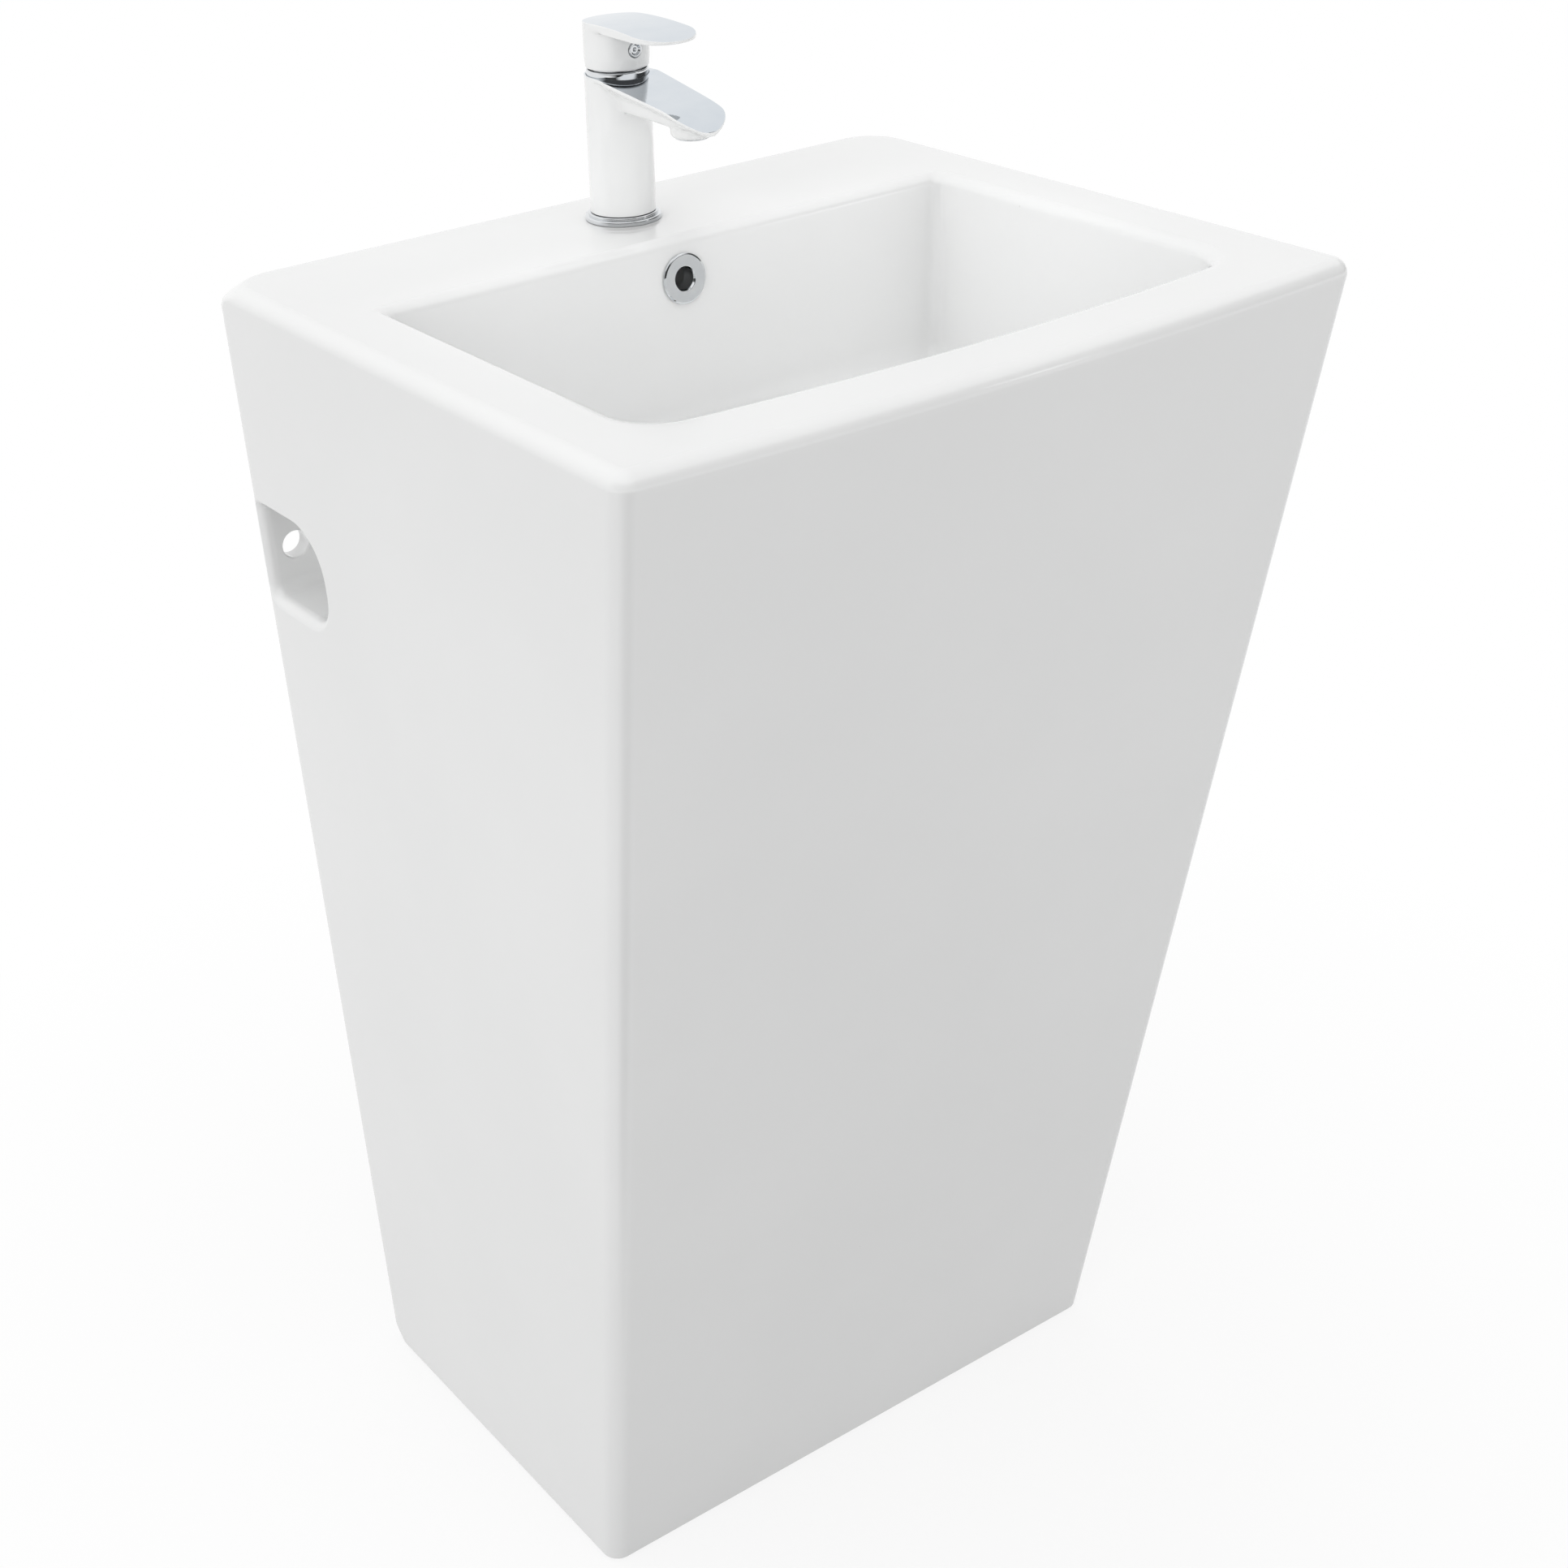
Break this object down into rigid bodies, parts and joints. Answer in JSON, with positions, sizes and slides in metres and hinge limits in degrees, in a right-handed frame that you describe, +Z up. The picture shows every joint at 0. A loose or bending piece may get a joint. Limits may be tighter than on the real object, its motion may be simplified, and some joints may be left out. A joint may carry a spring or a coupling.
{
  "type": "pedestal sink",
  "caption": "Freestanding tapered ceramic washbasin, cast in one with its pedestal, with a rectangular bowl, side pockets, a white single-lever tap, a sprung waste and a bottle trap.",
  "frame": {"origin": "on the floor, below the centre of the overall plan", "axes": "+X to the right seen from the front, +Y towards the wall, +Z up; the user stands on the -Y side"},
  "size_m": [0.524, 0.4404, 0.974],
  "materials": {
    "glaze": "high gloss white glaze",
    "chrome": "polished",
    "white_lacquer": "gloss white lacquer",
    "rubber": "matte black",
    "steel": "plain",
    "brass": "machined",
    "grey_plastic": "moulded",
    "alumina": "lapped",
    "white_plastic": "moulded"
  },
  "bodies": {
    "sink": {"basin_pedestal": "glaze", "overflow_ring": "chrome", "tap_base_seal": "rubber", "tap_base_ring": "chrome", "tap_body": "white_lacquer", "fixing_stud": "steel", "horseshoe_rubber_washer": "rubber", "horseshoe_metal_washer": "steel", "fixing_nut": "brass", "cartridge_seals": "rubber", "cartridge_base": "grey_plastic", "fixed_ceramic_disc": "alumina", "cartridge_body": "grey_plastic", "cartridge_nut": "brass", "collar_ring": "chrome", "aerator_housing": "chrome", "aerator_insert": "grey_plastic", "aerator_seal": "rubber", "drain_flange": "chrome", "drain_flange_seal": "rubber", "plug_spring": "steel", "waste_body": "brass", "waste_lower_seal": "rubber", "waste_washer": "grey_plastic", "waste_back_nut": "brass", "trap_inlet_seal": "rubber", "trap_inlet_tube": "white_plastic", "trap_inlet_nut": "white_plastic", "trap_head": "white_plastic", "trap_socket_seal": "rubber", "trap_socket_nut": "white_plastic", "trap_cup_seal": "rubber", "trap_cup": "white_plastic", "trap_outlet_seal": "rubber", "trap_outlet_nut": "white_plastic", "trap_outlet_tube": "white_plastic", "wall_rosette": "white_plastic"},
    "swivel": {"cartridge_rotor": "white_plastic", "stem_pivot_pin": "steel"},
    "disc": {"moving_ceramic_disc": "alumina", "disc_carrier": "grey_plastic"},
    "lever": {"lever_handle": "white_lacquer", "cartridge_stem": "steel", "handle_grub_screw": "steel", "index_plug": "chrome"},
    "plug": {"drain_plug": "chrome", "plug_seal": "rubber", "plug_spindle": "brass"}
  },
  "joints": [
    {"name": "cartridge_swivel", "type": "hinge", "parent": "sink", "child": "swivel", "pos_m": [0, 0.1577, 0.925], "axis": [0, 0, 1], "range_deg": [-45, 45]},
    {"name": "lever_lift", "type": "hinge", "parent": "swivel", "child": "lever", "pos_m": [0, 0.1577, 0.925], "axis": [-1, 0, 0], "range_deg": [0, 20]},
    {"name": "disc_slide", "type": "slide", "parent": "swivel", "child": "disc", "axis": [0, -1, 0], "range_m": [0, 0.0039]},
    {"name": "plug_press", "type": "slide", "parent": "sink", "child": "plug", "axis": [0, 0, 1], "range_m": [-0.008, 0], "stiffness_N_per_m": 400, "springref_m": 0.004, "deforming": ["plug_spring"]}
  ],
  "couplings": [
    {"joint": "disc_slide", "follows": "lever_lift", "m_per_rad": 0.011}
  ]
}
